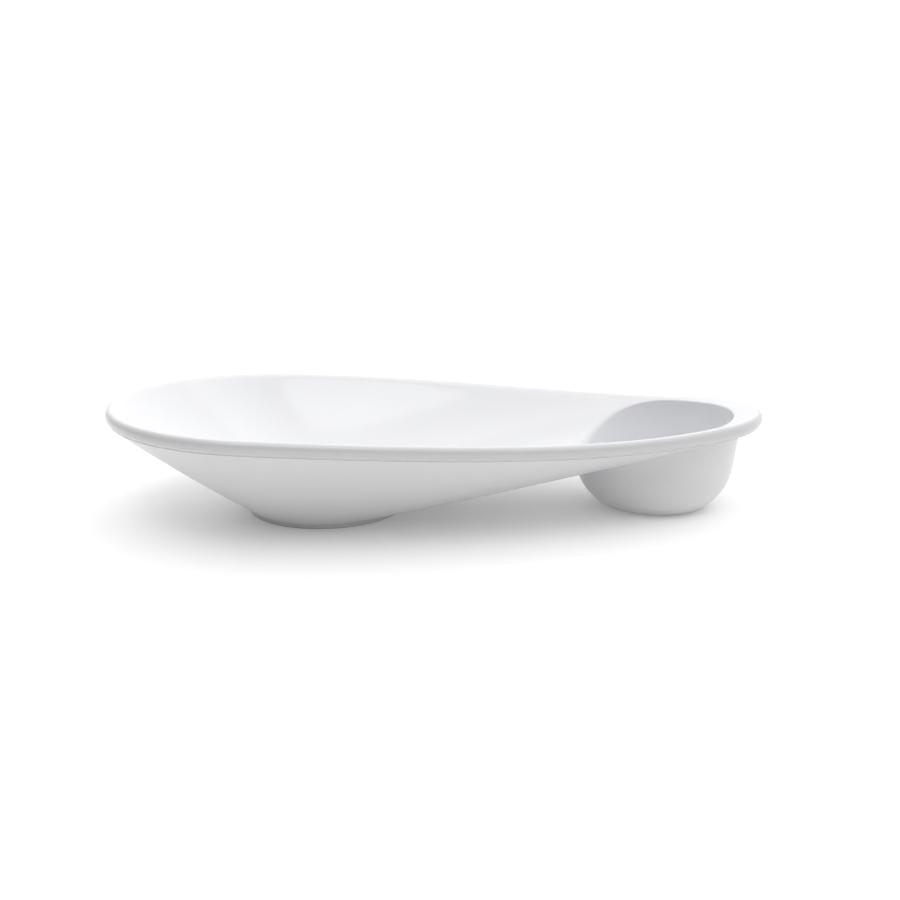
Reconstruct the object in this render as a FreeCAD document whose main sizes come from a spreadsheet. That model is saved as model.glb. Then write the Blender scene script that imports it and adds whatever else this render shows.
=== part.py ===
import FreeCAD
import Part

import math
import os

import Sketcher

# A pear-shaped chip and dip server: a food-side tray bonded into a lower shell along a line under the
# lip, standing on two non-slip rings. Millimetres, +Z up, table at z = 0, dip cup towards +X.

os.makedirs("parts", exist_ok=True)
doc = FreeCAD.newDocument("chip_and_dip_server")

DIMENSIONS = [
    # outline of the lip seen from above: four tangent arcs on each side
    ("overall_length", 400.0),
    ("big_end_radius", 100.0),
    ("flank_radius", 530.0),
    ("shoulder_radius", 78.0),
    ("nose_radius", 48.0),
    ("nose_angle", 52.0),
    # height of the lip's crest at five stations along the length
    ("station_belly", -110.0),
    ("station_middle", 0.0),
    ("station_neck", 95.0),
    ("crest_big_end", 68.8),
    ("crest_belly", 65.9),
    ("crest_middle", 60.8),
    ("crest_neck", 56.8),
    ("crest_tip", 61.2),
    # lip, an elliptical bead in section
    ("lip_reach", 3.2),
    ("lip_rise", 4.0),
    ("lip_turn", 60.0),
    # joint between tray and shell
    ("seam_gap", 0.5),
    ("scarf_width", 1.8),
    ("bead_recess", 0.12),
    ("bead_width", 1.2),
    ("tray_scarf_width", 3.1),
    # chip end
    ("chip_x", -70.5),
    ("foot_radius", 49.2),
    ("foot_top", 3.0),
    ("foot_step", 0.3),
    ("foot_draft", 0.3),
    ("foot_width", 6.0),
    ("foot_bottom", 0.8),
    ("shell_rise", 2.0),
    ("shell_bulge", 0.1),
    ("floor_disc_radius", 24.0),
    ("floor_radius", 36.0),
    ("floor_level", 11.0),
    ("tray_floor_thickness", 2.0),
    ("floor_blend", 0.18),
    ("floor_bulge", 0.2),
    ("inner_rim_inset", 5.5),
    ("inner_rim_drop", 0.3),
    ("flange_lift", 1.25),
    ("post_radius", 21.0),
    ("post_width", 3.0),
    # dip end
    ("cup_x", 134.8),
    ("cup_arc_offset", 13.9),
    ("cup_arc_level", 29.9),
    ("cup_arc_radius", 35.1),
    ("cup_rim_radius", 51.3),
    ("cup_rim_level", 48.0),
    ("cup_top", 70.0),
    ("cup_shell_thickness", 2.1),
    ("cup_clearance", 0.3),
    ("well_thickness", 1.8),
    # non-slip rings
    ("ring_groove_depth", 1.4),
    ("ring_width", 3.0),
    ("ring_edge", 0.4),
    ("chip_ring_radius", 48.5),
    ("dip_ring_radius", 29.9),
    # sampling of the free-form skins
    ("end_samples", 12.0),
    ("flank_samples", 8.0),
    ("shoulder_samples", 4.0),
    ("nose_samples", 8.0),
    ("void_top", 90.0),
]

dims = doc.addObject("Spreadsheet::Sheet", "dims")
for row, (alias, value) in enumerate(DIMENSIONS, start=1):
    dims.set(f"A{row}", alias)
    dims.set(f"B{row}", repr(value))
    dims.setAlias(f"B{row}", alias)
doc.recompute()


def size(alias):
    return float(getattr(dims, alias))


# ---- free-form skins -------------------------------------------------------------------------------


def rim_arcs():
    """Centre, radius and end angles (radians) of the outline's arcs, from the big end to the tip."""
    half = size("overall_length") / 2
    end_r, flank_r = size("big_end_radius"), size("flank_radius")
    shoulder_r, nose_r = size("shoulder_radius"), size("nose_radius")
    turn = math.radians(size("nose_angle"))
    end = FreeCAD.Vector(end_r - half, 0, 0)
    nose = FreeCAD.Vector(half - nose_r, 0, 0)
    shoulder = nose - (shoulder_r - nose_r) * FreeCAD.Vector(math.cos(turn), math.sin(turn), 0)
    # law of cosines in the triangle of the end's, the shoulder's and the flank's centres
    between = shoulder - end
    reach, far = flank_r - shoulder_r, flank_r - end_r
    corner = (between.Length**2 + reach**2 - far**2) / (2 * between.Length * reach)
    second = math.atan2(between.y, between.x) + math.acos(corner)
    flank = shoulder - reach * FreeCAD.Vector(math.cos(second), math.sin(second), 0)
    first = math.atan2(end.y - flank.y, end.x - flank.x)
    return [
        (end.x, end.y, end_r, math.pi, first, int(size("end_samples"))),
        (flank.x, flank.y, flank_r, first, second, int(size("flank_samples"))),
        (shoulder.x, shoulder.y, shoulder_r, second, turn, int(size("shoulder_samples"))),
        (nose.x, nose.y, nose_r, turn, 0.0, int(size("nose_samples"))),
    ]


def crest_height(x):
    """Height of the crest at x: the quartic through the five stations."""
    half = size("overall_length") / 2
    stations = [
        (-half, size("crest_big_end")),
        (size("station_belly"), size("crest_belly")),
        (size("station_middle"), size("crest_middle")),
        (size("station_neck"), size("crest_neck")),
        (half, size("crest_tip")),
    ]
    total = 0.0
    for i, (xi, zi) in enumerate(stations):
        for j, (xj, _) in enumerate(stations):
            if j != i:
                zi *= (x - xj) / (xi - xj)
        total += zi
    return total


class RimStation:
    """One place on the rim: an arc's centre and radius, the outward direction and the crest height.
    foot_angle is the matching direction from the chip end's axis."""

    def __init__(self, cx, cy, radius, angle):
        self.cx, self.cy, self.radius = cx, cy, radius
        self.nx, self.ny = math.cos(angle), math.sin(angle)
        self.foot_angle = angle
        self.crest = crest_height(cx + (radius - size("lip_reach")) * self.nx)

    def rim(self, inset, drop):
        reach = self.radius - inset
        return FreeCAD.Vector(self.cx + reach * self.nx, self.cy + reach * self.ny, self.crest - drop)

    def circle(self, radius, z):
        x = size("chip_x") + radius * math.cos(self.foot_angle)
        return FreeCAD.Vector(x, radius * math.sin(self.foot_angle), z)

    def wall(self, start, end, across, up):
        """A point between two others: share `across` of the way in plan and `up` in height."""
        low, high = self.circle(*start), self.rim(*end)
        step = high - low
        return FreeCAD.Vector(low.x + across * step.x, low.y + across * step.y, low.z + up * step.z)


def rim_stations():
    """Stations along one side, from the middle of the big end to the tip."""
    stations = []
    for cx, cy, radius, start, end, count in rim_arcs():
        for i in range(count):
            stations.append(RimStation(cx, cy, radius, start + (end - start) * i / count))
    tip_x, _, tip_radius = rim_arcs()[-1][:3]
    stations.append(RimStation(tip_x, 0.0, tip_radius, 0.0))
    # round the foot the stations are evened out, or they would bunch where the flank hardly turns
    for _ in range(3):
        angles = [station.foot_angle for station in stations]
        for i in range(1, len(stations) - 1):
            stations[i].foot_angle = (angles[i - 1] + 2 * angles[i] + angles[i + 1]) / 4
    return stations


STATIONS = rim_stations()


def curve_parameters():
    """One set of parameters for every section, from the rim's and the foot's spacing together."""
    foot = (size("foot_radius"), 0)
    parameters = [0.0]
    for here, there in zip(STATIONS, STATIONS[1:]):
        rim_step = (there.rim(0, 0) - here.rim(0, 0)).Length
        foot_step = (there.circle(*foot) - here.circle(*foot)).Length
        parameters.append(parameters[-1] + rim_step + 2 * foot_step)
    return parameters


PARAMETERS = curve_parameters()


def section(place):
    """A smooth curve along one side through place(station), square to the plane of symmetry."""
    points = [place(station) for station in STATIONS]
    points[0].y = points[-1].y = 0.0
    leaving = points[1].y / (PARAMETERS[1] - PARAMETERS[0])
    arriving = points[-2].y / (PARAMETERS[-1] - PARAMETERS[-2])
    curve = Part.BSplineCurve()
    curve.interpolate(
        Points=points,
        Parameters=PARAMETERS,
        InitialTangent=FreeCAD.Vector(0, leaving, 0),
        FinalTangent=FreeCAD.Vector(0, -arriving, 0),
        Scale=False,
    )
    return curve


def mirrored(poles):
    return [FreeCAD.Vector(pole.x, -pole.y, pole.z) for pole in poles]


def rim_section(inset, drop):
    return section(lambda station: station.rim(inset, drop))


def level_section(radius, z):
    return section(lambda station: station.circle(radius, z))


def lid_section(inset, z):
    return section(lambda station: FreeCAD.Vector(station.rim(inset, 0).x, station.rim(inset, 0).y, z))


def shell_wall(share, start, end):
    bulge = size("shell_bulge")
    up = share * (1 - bulge) + bulge * share**2
    return section(lambda station: station.wall(start, end, share, up))


def tray_wall(share, start, end):
    """The tray leaves its flat floor without a crease and then climbs like the shell outside it. Round
    the nose its last few millimetres level out into a flange."""
    blend, bulge = size("floor_blend"), size("floor_bulge")
    lift = size("flange_lift") * share**12 * (1 - share)

    def climb(part):
        return math.hypot(part, blend) - blend + bulge * part**2

    def up(station):
        return climb(share) / climb(1.0) + lift * ((1 + station.nx) / 2) ** 2

    return section(lambda station: station.wall(start, end, share, up(station)))


def spacing(sections):
    """Parameters across a skin: the mean distance from each section to the next."""
    parameters = [0.0]
    for here, there in zip(sections, sections[1:]):
        steps = [(b - a).Length for a, b in zip(here.getPoles(), there.getPoles())]
        parameters.append(parameters[-1] + sum(steps) / len(steps))
    return parameters


def skin(sections):
    """Two mirrored faces through the sections: smooth from four sections on, straight between two."""
    rows = [curve.getPoles() for curve in sections]
    parameters = spacing(sections)
    columns = []
    for column in zip(*rows):
        across = Part.BSplineCurve()
        if len(sections) == 2:
            across.buildFromPolesMultsKnots(list(column), [2, 2], parameters, False, 1)
        else:
            across.interpolate(Points=list(column), Parameters=parameters)
        columns.append(across)
    first, around = columns[0], sections[0]
    faces = []
    for side in (list, mirrored):
        surface = Part.BSplineSurface()
        surface.buildFromPolesMultsKnots(
            [side(curve.getPoles()) for curve in columns],
            around.getMultiplicities(),
            first.getMultiplicities(),
            around.getKnots(),
            first.getKnots(),
            False,
            False,
            around.Degree,
            first.Degree,
        )
        faces.append(surface.toShape())
    return faces


def disc(curve):
    """The flat face inside a level section."""
    other = Part.BSplineCurve()
    other.buildFromPolesMultsKnots(
        mirrored(curve.getPoles()), curve.getMultiplicities(), curve.getKnots(), False, curve.Degree
    )
    return Part.Face(Part.Wire([curve.toShape(), other.toShape()]))


def solid(faces):
    shell = Part.makeShell(faces)
    shell.sewShape(0.001)
    body = Part.makeSolid(shell)
    if body.Volume < 0:
        body.reverse()
    return body


def feature(name, shape):
    item = doc.addObject("Part::Feature", name)
    item.Shape = shape
    item.Placement = FreeCAD.Placement()
    return item


def space_above(name, sections, inset):
    """Everything above a skin: it trims the cup's turned walls inside the thickness of that skin."""
    lid = lid_section(inset, size("void_top"))
    faces = skin(sections) + [disc(sections[-1])] + skin([sections[0], lid]) + [disc(lid)]
    return feature(name, solid(faces))


WALL_SHARES = [0.95, 0.8, 0.6, 0.42, 0.28, 0.17, 0.08, 0.0]
lip_reach, lip_rise = size("lip_reach"), size("lip_rise")
scarf_inset = lip_reach * (1 - math.cos(math.radians(size("lip_turn"))))
scarf_drop = lip_rise * (1 + math.sin(math.radians(size("lip_turn"))))
seam_drop = scarf_drop + size("seam_gap")

# tray: the lip and the food side are one skin, from the seam over the crest to the chip floor
floor_start = (size("floor_radius"), size("floor_level"))
floor_end = (size("inner_rim_inset"), size("inner_rim_drop"))
lip_angles = [size("lip_turn"), 36.0, 12.0, -13.5, -39.0, -64.5, -90.0]
food_sections = []
for angle in lip_angles:
    turn = math.radians(angle)
    food_sections.append(rim_section(lip_reach * (1 - math.cos(turn)), lip_rise * (1 + math.sin(turn))))
food_sections += [tray_wall(share, floor_start, floor_end) for share in WALL_SHARES]
food_sections.append(level_section(size("floor_disc_radius"), size("floor_level")))
food_faces = skin(food_sections) + [disc(food_sections[-1])]

under_level = size("floor_level") - size("tray_floor_thickness")
under_start = (size("floor_radius"), under_level)
under_end = (scarf_inset + size("tray_scarf_width"), scarf_drop - size("tray_scarf_width"))
under_sections = [tray_wall(1.0, under_start, under_end)]
under_sections += [tray_wall(share, under_start, under_end) for share in WALL_SHARES]
under_sections.append(level_section(size("floor_disc_radius"), under_level))
tray_skin = feature(
    "tray_skin",
    solid(
        food_faces
        + skin([food_sections[0], under_sections[0]])
        + skin(under_sections)
        + [disc(under_sections[-1])]
    ),
)

middle_start = (size("floor_radius"), (size("floor_level") + under_level) / 2)
middle_end = ((under_end[0] + floor_end[0]) / 2, (under_end[1] + floor_end[1]) / 2)
middle_sections = [tray_wall(share, middle_start, middle_end) for share in [1.0] + WALL_SHARES]
middle_sections.append(level_section(size("floor_disc_radius"), middle_start[1]))
above_tray = space_above("above_tray", middle_sections, middle_end[0])

# shell: outer skin from the foot to the seam, inner skin parallel to it
outer_start = (size("foot_radius"), size("foot_top"))
outer_end = (scarf_inset, seam_drop)
inner_start = (size("foot_radius"), size("foot_top") + size("shell_rise"))
inner_end = (scarf_inset + size("scarf_width"), seam_drop - size("scarf_width"))
SHELL_SHARES = [1.0, 0.75, 0.5, 0.25, 0.0]
outer_sections = [shell_wall(share, outer_start, outer_end) for share in SHELL_SHARES]
inner_sections = [shell_wall(share, inner_start, inner_end) for share in SHELL_SHARES]
inner_faces = skin(inner_sections) + [disc(inner_sections[-1])]
shell_skin = feature(
    "shell_skin",
    solid(
        skin(outer_sections)
        + [disc(outer_sections[-1])]
        + skin([outer_sections[0], inner_sections[0]])
        + inner_faces
    ),
)
middle_start = (size("foot_radius"), size("foot_top") + size("shell_rise") / 2)
middle_end = (scarf_inset + size("scarf_width") / 2, seam_drop - size("scarf_width") / 2)
middle_sections = [shell_wall(share, middle_start, middle_end) for share in SHELL_SHARES]
above_shell = space_above("above_shell", middle_sections, middle_end[0])

# bead that bonds the two along the scarf joint
bead_low, bead_high = size("bead_recess"), size("bead_recess") + size("bead_width")
bead_corners = [
    rim_section(scarf_inset + bead_low, seam_drop - bead_low),
    rim_section(scarf_inset + bead_high, seam_drop - bead_high),
    rim_section(scarf_inset + bead_high, scarf_drop - bead_high),
    rim_section(scarf_inset + bead_low, scarf_drop - bead_low),
]
bead_faces = []
for here, there in zip(bead_corners, bead_corners[1:] + bead_corners[:1]):
    bead_faces += skin([here, there])
rim_seal = feature("rim_seal", solid(bead_faces))

# ---- turned pieces ---------------------------------------------------------------------------------


def origin_plane(body, role):
    return next(item for item in body.Origin.OriginFeatures if item.Role == role)


def evaluate(expression):
    return float(dims.evalExpression(expression.replace("dims.", "")))


def bind(sketch, constraint, expression):
    index = sketch.addConstraint(Sketcher.Constraint(*constraint, evaluate(expression)))
    if "dims." in expression:
        sketch.setExpression(f"Constraints[{index}]", expression)


def turned_body(name, centre, corners, arcs=()):
    """A body of revolution about a vertical axis at x = centre. corners: (radius, level) expressions.
    arcs: {corner index: (offset, level, radius)} for the runs that leave a corner on an arc, which
    ends tangent to the next run."""
    body = doc.addObject("PartDesign::Body", name)
    sketch = body.newObject("Sketcher::SketchObject", name + "_profile")
    sketch.AttachmentSupport = (origin_plane(body, "XZ_Plane"), [""])
    sketch.MapMode = "FlatFace"
    points = [tuple(evaluate(text) for text in corner) for corner in corners]
    arcs = dict(arcs)
    for i, (here, there) in enumerate(zip(points, points[1:] + points[:1])):
        if i in arcs:
            offset, level, radius = (evaluate(text) for text in arcs[i])
            circle = Part.Circle(FreeCAD.Vector(offset, level, 0), FreeCAD.Vector(0, 0, 1), radius)
            low = math.atan2(here[1] - level, here[0] - offset)
            sketch.addGeometry(Part.ArcOfCircle(circle, low, 0.0), False)
        else:
            line = Part.LineSegment(FreeCAD.Vector(*here, 0), FreeCAD.Vector(*there, 0))
            sketch.addGeometry(line, False)
    count = len(points)
    for i in range(count):
        after = (i + 1) % count
        if i in arcs:
            sketch.addConstraint(Sketcher.Constraint("Tangent", i, 2, after, 1))
        else:
            sketch.addConstraint(Sketcher.Constraint("Coincident", i, 2, after, 1))
    for i, corner in enumerate(corners):
        arrives_on_arc = (i - 1) % count in arcs
        leaves_on_arc = i in arcs
        if not arrives_on_arc:
            if corner[0] == "0":
                sketch.addConstraint(Sketcher.Constraint("PointOnObject", i, 1, -2))
            elif not leaves_on_arc:
                bind(sketch, ("DistanceX", -1, 1, i, 1), corner[0])
            if corner[1] == "0":
                sketch.addConstraint(Sketcher.Constraint("PointOnObject", i, 1, -1))
            else:
                bind(sketch, ("DistanceY", -1, 1, i, 1), corner[1])
        if leaves_on_arc:
            offset, level, radius = arcs[i]
            bind(sketch, ("DistanceX", -1, 1, i, 3), offset)
            bind(sketch, ("DistanceY", -1, 1, i, 3), level)
            bind(sketch, ("Radius", i), radius)
    turned = body.newObject("PartDesign::Revolution", name + "_turned")
    turned.Profile = sketch
    turned.ReferenceAxis = (sketch, ["V_Axis"])
    turned.Angle = 360
    body.Tip = turned
    body.setExpression("Placement.Base.x", centre)
    sketch.Visibility = False
    return body


def cup_profile(inward, bottom):
    """Corners and arc of the cup's profile moved inwards: a bowl, a flared wall, then upright."""
    rim = f"dims.cup_rim_radius - ({inward})"
    corners = [
        ("0", bottom),
        ("dims.dip_ring_radius", bottom),
        ("dims.cup_arc_offset + dims.cup_arc_radius", "dims.cup_arc_level"),
        (rim, "dims.cup_rim_level"),
        (rim, "dims.cup_top"),
        ("0", "dims.cup_top"),
    ]
    arc = ("dims.cup_arc_offset", "dims.cup_arc_level", f"dims.cup_arc_radius - ({inward})")
    return corners, {1: arc}


def box_profile(inner, outer, low, high):
    return [(inner, low), (outer, low), (outer, high), (inner, high)]


shell_wall_in = "dims.cup_shell_thickness"
well_wall_out = "dims.cup_shell_thickness + dims.cup_clearance"
well_wall_in = well_wall_out + " + dims.well_thickness"
base_top = "dims.foot_bottom + dims.cup_shell_thickness"
well_floor = base_top + " + dims.well_thickness"

cup_x = "dims.cup_x"
cup_outside = turned_body("cup_outside", cup_x, *cup_profile("0", "dims.foot_bottom"))
cup_inside = turned_body("cup_inside", cup_x, *cup_profile(shell_wall_in, base_top))
well_outside = turned_body("well_outside", cup_x, *cup_profile(well_wall_out, base_top))
well_inside = turned_body("well_inside", cup_x, *cup_profile(well_wall_in, well_floor))

foot_in = "dims.foot_radius - dims.foot_width"
foot_out = "dims.foot_radius - dims.foot_step"
inside_skin = "dims.foot_top + dims.shell_rise / 2"
foot = turned_body(
    "foot",
    "dims.chip_x",
    [
        (foot_in, "dims.foot_bottom"),
        (f"{foot_out} - dims.foot_draft", "dims.foot_bottom"),
        (foot_out, "dims.foot_top"),
        (foot_out, inside_skin),
        (foot_in, inside_skin),
    ],
)
post = turned_body(
    "post",
    "dims.chip_x",
    box_profile(
        "dims.post_radius - dims.post_width",
        "dims.post_radius",
        inside_skin,
        "dims.floor_level - dims.tray_floor_thickness",
    ),
)


def groove_body(name, centre, radius):
    low = "dims.foot_bottom - dims.seam_gap"
    high = "dims.foot_bottom + dims.ring_groove_depth"
    return turned_body(name, centre, box_profile(f"{radius} - dims.ring_width", radius, low, high))


def ring_body(name, centre, radius):
    """A ring that fills its groove and stands out below it, its lower corners bevelled."""
    high = "dims.foot_bottom + dims.ring_groove_depth"
    inner = f"{radius} - dims.ring_width"
    return turned_body(
        name,
        centre,
        [
            (f"{inner} + dims.ring_edge", "0"),
            (f"{radius} - dims.ring_edge", "0"),
            (radius, "dims.ring_edge"),
            (radius, high),
            (inner, high),
            (inner, "dims.ring_edge"),
        ],
    )


chip_groove = groove_body("chip_groove", "dims.chip_x", "dims.chip_ring_radius")
dip_groove = groove_body("dip_groove", "dims.cup_x", "dims.dip_ring_radius")
chip_foot_ring = ring_body("chip_foot_ring", "dims.chip_x", "dims.chip_ring_radius")
dip_foot_ring = ring_body("dip_foot_ring", "dims.cup_x", "dims.dip_ring_radius")
doc.recompute()

# ---- tray and shell put together -------------------------------------------------------------------


def cut(name, base, tool):
    item = doc.addObject("Part::Cut", name)
    item.Base, item.Tool = base, tool
    return item


def fuse(name, *shapes):
    item = doc.addObject("Part::MultiFuse", name)
    item.Shapes = list(shapes)
    return item


well_wall = cut("well_wall", well_outside, above_tray)
tray_blank = fuse("tray_blank", tray_skin, well_wall)
serving_tray = cut("serving_tray", tray_blank, well_inside)

cup_wall = cut("cup_wall", cup_outside, above_shell)
shell_blank = fuse("shell_blank", shell_skin, cup_wall, foot, post)
shell_hollow = cut("shell_hollow", shell_blank, cup_inside)
shell_chip_groove = cut("shell_chip_groove", shell_hollow, chip_groove)
outer_shell = cut("outer_shell", shell_chip_groove, dip_groove)
doc.recompute()

# ---- the separate pieces ---------------------------------------------------------------------------

PIECES = [serving_tray, outer_shell, rim_seal, chip_foot_ring, dip_foot_ring]
for piece in PIECES:
    piece.Label = piece.Name
for item in doc.Objects:
    if "Invalid" in item.State or "Error" in item.State:
        raise RuntimeError(f"{item.Name} did not build: {item.State}")
for piece in PIECES:
    shape = piece.Shape
    if shape.isNull() or not shape.isValid() or len(shape.Solids) != 1:
        raise RuntimeError(f"{piece.Name} is not one sound solid")
    shape.exportStep(os.path.join("parts", piece.Label + ".step"))
    print(f"{piece.Label}: {shape.Volume / 1000:.1f} cm3")
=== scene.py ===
import math

import bpy
import numpy as np
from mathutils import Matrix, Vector


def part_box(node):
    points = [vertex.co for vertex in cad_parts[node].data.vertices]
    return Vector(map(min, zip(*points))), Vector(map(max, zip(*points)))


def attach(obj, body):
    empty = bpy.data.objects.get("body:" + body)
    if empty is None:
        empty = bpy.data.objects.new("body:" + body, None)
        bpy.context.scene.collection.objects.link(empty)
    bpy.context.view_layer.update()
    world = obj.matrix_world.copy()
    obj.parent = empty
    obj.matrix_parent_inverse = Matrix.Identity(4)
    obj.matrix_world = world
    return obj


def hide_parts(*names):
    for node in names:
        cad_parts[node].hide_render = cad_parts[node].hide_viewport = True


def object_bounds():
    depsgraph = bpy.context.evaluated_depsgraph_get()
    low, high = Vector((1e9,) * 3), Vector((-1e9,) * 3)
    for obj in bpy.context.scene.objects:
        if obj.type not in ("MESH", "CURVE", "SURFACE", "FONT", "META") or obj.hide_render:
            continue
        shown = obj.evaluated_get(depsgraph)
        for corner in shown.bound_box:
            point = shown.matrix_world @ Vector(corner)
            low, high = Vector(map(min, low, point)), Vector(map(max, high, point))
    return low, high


# A white pear-shaped chip and dip server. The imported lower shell, seal and foot rings stay. The tray, with
# the glossy food side and the rolled lip, is one smooth skin built here round the cup's axis. Metres.
# A turn is a normal's angle on the outline, from 0 at the nose to pi at the big end.

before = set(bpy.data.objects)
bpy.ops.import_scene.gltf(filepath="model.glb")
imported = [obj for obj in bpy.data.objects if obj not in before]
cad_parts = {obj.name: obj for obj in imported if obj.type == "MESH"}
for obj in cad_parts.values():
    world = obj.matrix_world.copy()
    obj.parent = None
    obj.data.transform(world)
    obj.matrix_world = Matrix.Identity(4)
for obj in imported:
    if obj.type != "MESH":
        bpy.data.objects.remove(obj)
cad_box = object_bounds()
MM = 0.001

# ---- driving sizes, from the frame where it has them ------------------------------------------------

HALF = cad_box[1][0]
CHIP_X = (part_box("chip_foot_ring")[0][0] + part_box("chip_foot_ring")[1][0]) / 2
CUP_X = (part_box("dip_foot_ring")[0][0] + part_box("dip_foot_ring")[1][0]) / 2

# outline of the lip: big end, flank, shoulder and nose arcs, tangent to each other
END_R, FLANK_R, SHOULDER_R, NOSE_R = 100 * MM, 530 * MM, 78 * MM, 48 * MM
NOSE_ANGLE = math.radians(52)

# crest of the lip: height at stations along the length
CREST_X = [-HALF, -110 * MM, 0.0, 95 * MM, HALF]
CREST_Z = [68.8 * MM, 65.9 * MM, 60.8 * MM, 56.8 * MM, 61.2 * MM]

LIP_REACH, LIP_RISE, LIP_TURN = 3.2 * MM, 4 * MM, math.radians(60)
LIP_BLEND = 8 * MM
SKIN_THICKNESS = 1.8 * MM

FLOOR_R, FLOOR_Z = 36 * MM, 11 * MM
FLOOR_BLEND, FLOOR_BULGE, FLANGE_LIFT = 0.18, 0.2, 1.25
INNER_INSET, INNER_DROP = 5.5 * MM, 0.3 * MM

# dip well: flat floor, a bowl, a flared wall, then upright
WELL_FLOOR_Z, WELL_FILLET = 4.7 * MM, 9 * MM
WELL_ARC_R, WELL_ARC_X, WELL_ARC_Z = 30.9 * MM, 13.9 * MM, 29.9 * MM
WELL_RIM_R, WELL_RIM_Z, WELL_TOP = 47.1 * MM, 48 * MM, 70 * MM
BOWL_POINTS = 60
# rounding of the well's mouth, from the nose side to the saddle side, and where its foot is looked for
MOUTH_CRISP, MOUTH_SOFT, MOUTH_FALL = 1.1 * MM, 11 * MM, 3.6
MOUTH_LOW, MOUTH_HIGH = 12 * MM, 66 * MM

# rows of the tray's grid: well floor, its fillet, wall, mouth, food side, rise to the crest, lip
COLUMNS = 400
BASE_ROWS, FILLET_ROWS, WALL_ROWS, MOUTH_ROWS, FOOD_ROWS, RISE_ROWS, LIP_ROWS = 6, 6, 14, 8, 60, 10, 16
FIRST_RING_R = 4 * MM

HALVINGS = 34  # steps of each bisection
STEP = 0.2 * MM  # distance for slopes taken by differences
PAST_RIM = 1.2  # the food side's wall is extended this far, as a share of its width


# ---- outline and food skin --------------------------------------------------------------------------


def outline_arcs():
    """Centre, radius and last normal angle of each arc on one side, from the nose to the big end."""
    end = np.array([END_R - HALF, 0.0])
    nose = np.array([HALF - NOSE_R, 0.0])
    turn = np.array([math.cos(NOSE_ANGLE), math.sin(NOSE_ANGLE)])
    shoulder = nose - (SHOULDER_R - NOSE_R) * turn
    between = shoulder - end
    gap = np.linalg.norm(between)
    reach, far = FLANK_R - SHOULDER_R, FLANK_R - END_R
    corner = math.acos((gap**2 + reach**2 - far**2) / (2 * gap * reach))
    second = math.atan2(between[1], between[0]) + corner
    flank = shoulder - reach * np.array([math.cos(second), math.sin(second)])
    first = math.atan2(end[1] - flank[1], end[0] - flank[0])
    return [
        (nose, NOSE_R, NOSE_ANGLE),
        (shoulder, SHOULDER_R, second),
        (flank, FLANK_R, first),
        (end, END_R, math.pi),
    ]


ARCS = outline_arcs()
CREST = np.polyfit(np.array(CREST_X) - CHIP_X, CREST_Z, 4)


def pick(turn, values):
    """The value of the arc on which the outline has each normal angle."""
    limits = [turn <= arc[2] for arc in ARCS[:-1]]
    return np.select(limits, values[:-1], values[-1])


def rim(turn, inset):
    """Plan position on the outline moved inwards, for normal angles 0 (nose) to pi (big end)."""
    radius = pick(turn, [arc[1] for arc in ARCS]) - inset
    x = pick(turn, [arc[0][0] for arc in ARCS]) + radius * np.cos(turn)
    y = pick(turn, [arc[0][1] for arc in ARCS]) + radius * np.sin(turn)
    return x, y


def crest(turn):
    return np.polyval(CREST, rim(turn, LIP_REACH)[0] - CHIP_X)


def climb(share):
    return np.hypot(share, FLOOR_BLEND) - FLOOR_BLEND + FLOOR_BULGE * share**2


def food_height(x, y):
    """Height of the food side: a flat round floor, and a wall ruled from it to the lip."""
    y = np.abs(y)
    low, high = np.zeros_like(x), np.full_like(x, math.pi)
    for _ in range(HALVINGS):
        turn = (low + high) / 2
        start_x, start_y = CHIP_X + FLOOR_R * np.cos(turn), FLOOR_R * np.sin(turn)
        rim_x, rim_y = rim(turn, INNER_INSET)
        side = (rim_x - start_x) * (y - start_y) - (rim_y - start_y) * (x - start_x)
        low, high = np.where(side > 0, turn, low), np.where(side > 0, high, turn)
    span = np.hypot(rim_x - start_x, rim_y - start_y)
    share = ((x - start_x) * (rim_x - start_x) + (y - start_y) * (rim_y - start_y)) / span**2
    share = np.clip(share, 0, PAST_RIM)
    flange = FLANGE_LIFT * share**12 * (1 - share) * ((1 + np.cos(turn)) / 2) ** 2
    rise = (crest(turn) - INNER_DROP - FLOOR_Z) * (climb(share) / climb(1.0) + flange)
    on_floor = np.hypot(x - CHIP_X, y) <= FLOOR_R
    return FLOOR_Z + np.where(on_floor, 0.0, rise)


# ---- dip well ---------------------------------------------------------------------------------------


def well_wall():
    """Radius as a function of height, as the points of a fine line, for the bowl, flare and upright."""
    apart = math.hypot(WELL_RIM_R - WELL_ARC_X, WELL_RIM_Z - WELL_ARC_Z)
    towards = math.atan2(WELL_RIM_Z - WELL_ARC_Z, WELL_RIM_R - WELL_ARC_X)
    leave = towards - math.acos(WELL_ARC_R / apart)
    inner = WELL_ARC_R - WELL_FILLET
    start = math.asin((WELL_FLOOR_Z + WELL_FILLET - WELL_ARC_Z) / inner)
    turn = np.linspace(start, leave, BOWL_POINTS)
    radius = list(WELL_ARC_X + WELL_ARC_R * np.cos(turn)) + [WELL_RIM_R, WELL_RIM_R]
    height = list(WELL_ARC_Z + WELL_ARC_R * np.sin(turn)) + [WELL_RIM_Z, WELL_TOP]
    fillet_x = WELL_ARC_X + inner * math.cos(start)
    return np.array(radius), np.array(height), fillet_x, start


WALL_R, WALL_Z, FILLET_X, FILLET_TURN = well_wall()


def well_radius(height):
    return np.interp(height, WALL_Z, WALL_R)


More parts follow.
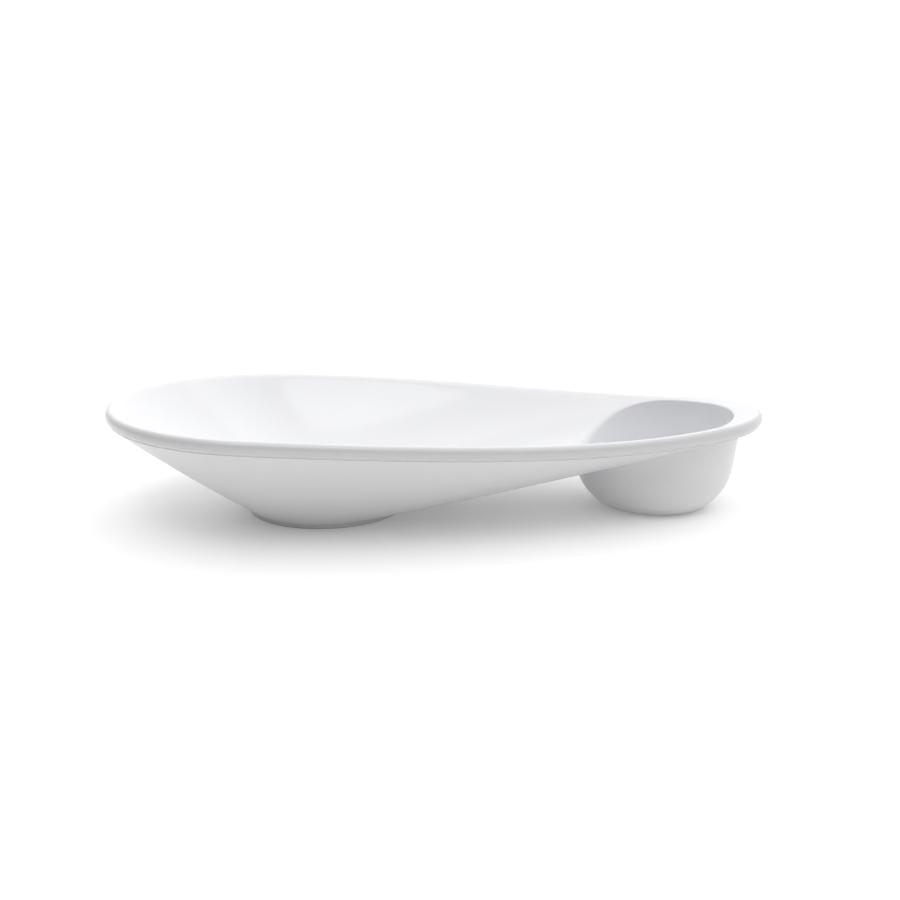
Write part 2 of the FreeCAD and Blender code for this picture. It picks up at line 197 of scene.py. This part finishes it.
def mouth_fillet(direction_x, direction_y):
    """Centre, radius and end angles of the rounding between the well and the food side, per column."""
    facing = (1 - direction_x) / 2
    size = MOUTH_CRISP + (MOUTH_SOFT - MOUTH_CRISP) * facing**MOUTH_FALL

    def skin(radius):
        return food_height(CUP_X + radius * direction_x, radius * direction_y)

    def wall_lean(height):
        return np.arctan2(well_radius(height + STEP) - well_radius(height - STEP), 2 * STEP)

    low, high = np.full_like(size, MOUTH_LOW), np.full_like(size, MOUTH_HIGH)
    for _ in range(HALVINGS):
        touch = (low + high) / 2
        lean = wall_lean(touch)
        centre_r = well_radius(touch) + size * np.cos(lean)
        centre_z = touch - size * np.sin(lean)
        slope = np.arctan2(skin(centre_r + STEP) - skin(centre_r - STEP), 2 * STEP)
        above = (skin(centre_r) - centre_z) * np.cos(slope) > size
        low, high = np.where(above, touch, low), np.where(above, high, touch)
    return centre_r, centre_z, size, math.pi - lean, slope + math.pi / 2


# ---- the tray's skin --------------------------------------------------------------------------------


def column_turns():
    """Normal angles, evenly spread along the outline, for one side from the nose to the big end."""
    fine = np.linspace(0, math.pi, 10 * COLUMNS + 1)
    x, y = rim(fine, LIP_REACH)
    along = np.concatenate([[0], np.cumsum(np.hypot(np.diff(x), np.diff(y)))])
    return np.interp(np.linspace(0, along[-1], COLUMNS // 2 + 1), along, fine)


def tray_rows():
    """Rows of points, from the middle of the well's floor out over the lip, for one side."""
    turn = column_turns()
    edge_x, edge_y = rim(turn, LIP_BLEND)
    reach = np.hypot(edge_x - CUP_X, edge_y)
    dir_x, dir_y = (edge_x - CUP_X) / reach, edge_y / reach
    rows = []

    def ring(radius, height):
        rows.append((CUP_X + radius * dir_x, radius * dir_y, height + 0 * dir_x))

    for radius in np.linspace(FIRST_RING_R, FILLET_X, BASE_ROWS):
        ring(radius, WELL_FLOOR_Z)
    for angle in np.linspace(-math.pi / 2, FILLET_TURN, FILLET_ROWS + 1)[1:]:
        radius = FILLET_X + WELL_FILLET * math.cos(angle)
        ring(radius, WELL_FLOOR_Z + WELL_FILLET * (1 + math.sin(angle)))

    centre_r, centre_z, size, first, last = mouth_fillet(dir_x, dir_y)
    wall_start = WALL_Z[0]
    wall_end = centre_z + size * np.sin(first)
    for share in np.linspace(0, 1, WALL_ROWS + 1)[1:]:
        height = wall_start + share * (wall_end - wall_start)
        ring(well_radius(height), height)
    for share in np.linspace(0, 1, MOUTH_ROWS + 1)[1:]:
        angle = first + share * (last - first)
        ring(centre_r + size * np.cos(angle), centre_z + size * np.sin(angle))

    food_start = centre_r + size * np.cos(last)
    for share in np.linspace(0, 1, FOOD_ROWS + 1)[1:]:
        radius = food_start + share * (reach - food_start)
        x, y = CUP_X + radius * dir_x, radius * dir_y
        rows.append((x, y, food_height(x, y)))

    # from the wall up onto the crest, square to the lip, and round the lip to its lower edge
    top = crest(turn)
    start_z = food_height(edge_x, edge_y)
    rise = (start_z - food_height(*rim(turn, LIP_BLEND + STEP))) / STEP
    across = LIP_BLEND - LIP_REACH
    for share in np.linspace(0, 1, RISE_ROWS + 1)[1:]:
        keep = 2 * share**3 - 3 * share**2 + 1
        leave = share**3 - 2 * share**2 + share
        height = keep * start_z + leave * rise * across + (1 - keep) * top
        x, y = rim(turn, LIP_BLEND - share * across)
        rows.append((x, y, height))
    for angle in np.linspace(-math.pi / 2, LIP_TURN, LIP_ROWS + 1)[1:]:
        x, y = rim(turn, LIP_REACH * (1 - math.cos(angle)))
        rows.append((x, y, top - LIP_RISE * (1 + math.sin(angle))))
    return rows


def tray_mesh(rows):
    """Both sides of the skin as one grid of quads, closed over the well's middle by a fan."""
    vertices, faces = [(CUP_X, 0.0, WELL_FLOOR_Z)], []
    for x, y, z in rows:
        side = np.stack([x, y, z], axis=1)
        other = side[1:-1][::-1] * np.array([1, -1, 1])
        vertices += [tuple(point) for point in np.concatenate([side, other])]
    for j in range(COLUMNS):
        after = (j + 1) % COLUMNS
        faces.append((0, 1 + j, 1 + after))
        for i in range(len(rows) - 1):
            low, high = 1 + i * COLUMNS, 1 + (i + 1) * COLUMNS
            faces.append((low + j, high + j, high + after, low + after))
    return vertices, faces


def make_piece(name, vertices, faces, material):
    mesh = bpy.data.meshes.new(name)
    mesh.from_pydata(vertices, [], faces)
    mesh.materials.append(material)
    mesh.polygons.foreach_set("use_smooth", [True] * len(mesh.polygons))
    mesh.update()
    piece = bpy.data.objects.new(name, mesh)
    bpy.context.scene.collection.objects.link(piece)
    return piece


# ---- materials --------------------------------------------------------------------------------------

PLASTIC_IOR, COAT_ROUGHNESS = 1.5, 0.04
NOISE_LOW, NOISE_HIGH = 0.3, 0.7  # the part of a noise texture's range that is used
COLOUR_PATCHES, GLOSS_PATCHES = 9.0, 40.0
COLOUR_DRIFT, GLOSS_DRIFT = 0.012, 0.2
FINE_GRAIN, COARSE_GRAIN, GRAIN_DEPTH = 2200.0, 900.0, 0.05 * MM


def moulded(name, colour, roughness, bump, coat=0.0, grain=COARSE_GRAIN, lip_satin_and_shade=None):
    """Moulded white plastic: a faint drift of colour, uneven gloss and a fine skin texture. The last
    argument gives the darker colour, painted shade, and the satin roughness that it fades to where the
    mesh's attribute of the same name is 1."""
    material = bpy.data.materials.new(name)
    material.use_nodes = True
    nodes, links = material.node_tree.nodes, material.node_tree.links
    shader = nodes["Principled BSDF"]
    shader.inputs["IOR"].default_value = PLASTIC_IOR
    shader.inputs["Coat Weight"].default_value = coat
    shader.inputs["Coat Roughness"].default_value = COAT_ROUGHNESS
    place = nodes.new("ShaderNodeTexCoord")

    def noise(scale, detail):
        texture = nodes.new("ShaderNodeTexNoise")
        texture.inputs["Scale"].default_value = scale
        texture.inputs["Detail"].default_value = detail
        links.new(place.outputs["Object"], texture.inputs["Vector"])
        return texture.outputs["Fac"]

    def remap(source, low, high):
        node = nodes.new("ShaderNodeMapRange")
        node.inputs["From Min"].default_value = NOISE_LOW
        node.inputs["From Max"].default_value = NOISE_HIGH
        node.inputs["To Min"].default_value = low
        node.inputs["To Max"].default_value = high
        links.new(source, node.inputs["Value"])
        return node.outputs["Result"]

    ramp = nodes.new("ShaderNodeValToRGB")
    dull, clean = ramp.color_ramp.elements
    dull.position, clean.position = NOISE_LOW, NOISE_HIGH
    dull.color = (*(channel - COLOUR_DRIFT for channel in colour), 1.0)
    clean.color = (*colour, 1.0)
    links.new(noise(COLOUR_PATCHES, 3.0), ramp.inputs["Fac"])
    tint = ramp.outputs["Color"]
    gloss = remap(
        noise(GLOSS_PATCHES, 4.0), roughness * (1 - GLOSS_DRIFT), roughness * (1 + GLOSS_DRIFT)
    )
    if lip_satin_and_shade:
        # on the lip the colour fades to a darker grey, painted shade, and the roughness to satin
        lip_painted_shade_colour, outside_roughness = lip_satin_and_shade
        side = nodes.new("ShaderNodeAttribute")
        side.attribute_name = "lip_satin_and_shade"
        fade = nodes.new("ShaderNodeMix")
        fade.data_type = "RGBA"
        fade.inputs["B"].default_value = (*lip_painted_shade_colour, 1.0)
        fade_gloss = nodes.new("ShaderNodeMix")
        fade_gloss.inputs["B"].default_value = outside_roughness
        links.new(side.outputs["Fac"], fade.inputs["Factor"])
        links.new(side.outputs["Fac"], fade_gloss.inputs["Factor"])
        links.new(tint, fade.inputs["A"])
        links.new(gloss, fade_gloss.inputs["A"])
        tint, gloss = fade.outputs["Result"], fade_gloss.outputs["Result"]
    links.new(tint, shader.inputs["Base Color"])
    links.new(gloss, shader.inputs["Roughness"])

    skin = nodes.new("ShaderNodeBump")
    skin.inputs["Strength"].default_value = bump
    skin.inputs["Distance"].default_value = GRAIN_DEPTH
    links.new(noise(grain, 5.0), skin.inputs["Height"])
    links.new(skin.outputs["Normal"], shader.inputs["Normal"])
    return material


# the lip's outer band is given a grey well below the food side's white, though it is the same plastic:
# painted shade where the lip turns away from the light
FOOD_WHITE, LIP_PAINTED_SHADE_WHITE, SHELL_PAINTED_SHADE_WHITE = (0.875, 0.878, 0.90), (0.66, 0.66, 0.67), (0.74, 0.74, 0.75)
SEAL_WHITE, RING_GREY = (0.86, 0.86, 0.87), (0.62, 0.62, 0.63)

tray_gloss_lip_shade = moulded(
    "tray_gloss_lip_shade", FOOD_WHITE, roughness=0.16, bump=0.12, coat=0.3, lip_satin_and_shade=(LIP_PAINTED_SHADE_WHITE, 0.3)
)
# the shell is given a duller white than the food side, though it is the same plastic: painted shade for its
# sideways and downward faces, on top of its satin finish
shell_satin_shaded = moulded("shell_satin_shaded", SHELL_PAINTED_SHADE_WHITE, roughness=0.36, bump=0.35)
seal_white = moulded("seal_white", SEAL_WHITE, roughness=0.6, bump=0.5)
ring_rubber = moulded("ring_rubber", RING_GREY, roughness=0.75, bump=0.8, grain=FINE_GRAIN)

# ---- the pieces -------------------------------------------------------------------------------------

for node, material in (
    ("outer_shell", shell_satin_shaded),
    ("rim_seal", seal_white),
    ("chip_foot_ring", ring_rubber),
    ("dip_foot_ring", ring_rubber),
):
    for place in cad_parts[node].material_slots:
        place.material = material

LIP_FADE = 0.25  # share of the lip, from the crest, over which the gloss fades to satin and the colour darkens to painted shade

tray = make_piece("tray_skin", *tray_mesh(tray_rows()), tray_gloss_lip_shade)
# mask over the lip's rows, fading in from the crest: satin finish plus painted shade
lip_satin_and_shade = np.zeros(len(tray.data.vertices))
lip_share = np.clip(np.arange(1, LIP_ROWS + 1) / (LIP_FADE * LIP_ROWS), 0, 1)
lip_satin_and_shade[-LIP_ROWS * COLUMNS :] = np.repeat(lip_share, COLUMNS)
tray.data.attributes.new("lip_satin_and_shade", "FLOAT", "POINT").data.foreach_set("value", lip_satin_and_shade)
thick = tray.modifiers.new("thickness", "SOLIDIFY")
thick.thickness = SKIN_THICKNESS
thick.offset = -1.0
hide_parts("serving_tray")
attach(tray, "root")

# ---- studio -----------------------------------------------------------------------------------------


def lit_floor(name, colour, roughness, glow):
    """A white floor, lit a little from within like a light table."""
    material = bpy.data.materials.new(name)
    material.use_nodes = True
    shader = material.node_tree.nodes["Principled BSDF"]
    shader.inputs["Base Color"].default_value = (*colour, 1.0)
    shader.inputs["Roughness"].default_value = roughness
    shader.inputs["Emission Color"].default_value = (1.0, 1.0, 1.0, 1.0)
    shader.inputs["Emission Strength"].default_value = glow
    return material


FLOOR_REACH = 30.0
FLOOR_WHITE, FLOOR_ROUGHNESS, FLOOR_GLOW = (0.93, 0.93, 0.93), 0.6, 0.13
floor = make_piece(
    "floor",
    [(x * FLOOR_REACH, y * FLOOR_REACH, 0) for x, y in ((-1, -1), (1, -1), (1, 1), (-1, 1))],
    [(0, 1, 2, 3)],
    lit_floor("floor_white", FLOOR_WHITE, FLOOR_ROUGHNESS, FLOOR_GLOW),
)

# white room: dim low in front, bright overhead, behind and a little to the right
FRONT_LIGHT, BACK_LIGHT = 0.05, 1.05
BRIGHT_SIDE, FADE_FROM, FADE_TO = (0.5, 1.0, 1.15), -0.4, 0.85
OVERHEAD_LIGHT, OVERHEAD_SPREAD, OVERHEAD_SIDE = 0.65, math.radians(70), (0.2, -0.14, 1.0)
SOFTBOX_LIGHT, SOFTBOX_SPREAD, SOFTBOX_SIDE = 0.3, math.radians(28), (-0.15, -0.43, 0.915)

world = bpy.data.worlds.new("studio")
bpy.context.scene.world = world
world.use_nodes = True
room, wires = world.node_tree.nodes, world.node_tree.links
direction = room.new("ShaderNodeTexCoord")
towards = room.new("ShaderNodeVectorMath")
towards.operation = "DOT_PRODUCT"
towards.inputs[1].default_value = BRIGHT_SIDE
fade = room.new("ShaderNodeMapRange")
fade.interpolation_type = "SMOOTHSTEP"
fade.inputs["From Min"].default_value = FADE_FROM
fade.inputs["From Max"].default_value = FADE_TO
fade.inputs["To Min"].default_value = FRONT_LIGHT
fade.inputs["To Max"].default_value = BACK_LIGHT
wires.new(direction.outputs["Generated"], towards.inputs[0])
wires.new(towards.outputs["Value"], fade.inputs["Value"])
wires.new(fade.outputs["Result"], room["Background"].inputs["Strength"])
room["Background"].inputs["Color"].default_value = (1, 1, 1, 1)


def soft_sun(name, towards_lamp, strength, spread):
    lamp = bpy.data.lights.new(name, "SUN")
    lamp.energy = strength
    lamp.angle = spread
    holder = bpy.data.objects.new(name, lamp)
    holder.rotation_euler = Vector(towards_lamp).to_track_quat("Z", "Y").to_euler()
    bpy.context.scene.collection.objects.link(holder)


soft_sun("overhead", OVERHEAD_SIDE, OVERHEAD_LIGHT, OVERHEAD_SPREAD)
soft_sun("softbox", SOFTBOX_SIDE, SOFTBOX_LIGHT, SOFTBOX_SPREAD)

# camera: seen from the long side, a little above the lip
EYE_DISTANCE, EYE_SIDE, EYE_HEIGHT = 0.600, 0.0064, 0.1926
YAW, PITCH = 0.04048, 0.2578
LENS, SENSOR = 39.68, 36.0

camera_data = bpy.data.cameras.new("camera")
camera_data.sensor_width, camera_data.lens = SENSOR, LENS
camera = bpy.data.objects.new("camera", camera_data)
camera.location = (
    EYE_SIDE * math.cos(YAW) - EYE_DISTANCE * math.sin(YAW),
    -EYE_SIDE * math.sin(YAW) - EYE_DISTANCE * math.cos(YAW),
    EYE_HEIGHT,
)
view = Vector((math.sin(YAW) * math.cos(PITCH), math.cos(YAW) * math.cos(PITCH), -math.sin(PITCH)))
camera.rotation_euler = view.to_track_quat("-Z", "Y").to_euler()
bpy.context.scene.collection.objects.link(camera)
bpy.context.scene.camera = camera
bpy.context.scene.view_settings.view_transform = "Standard"
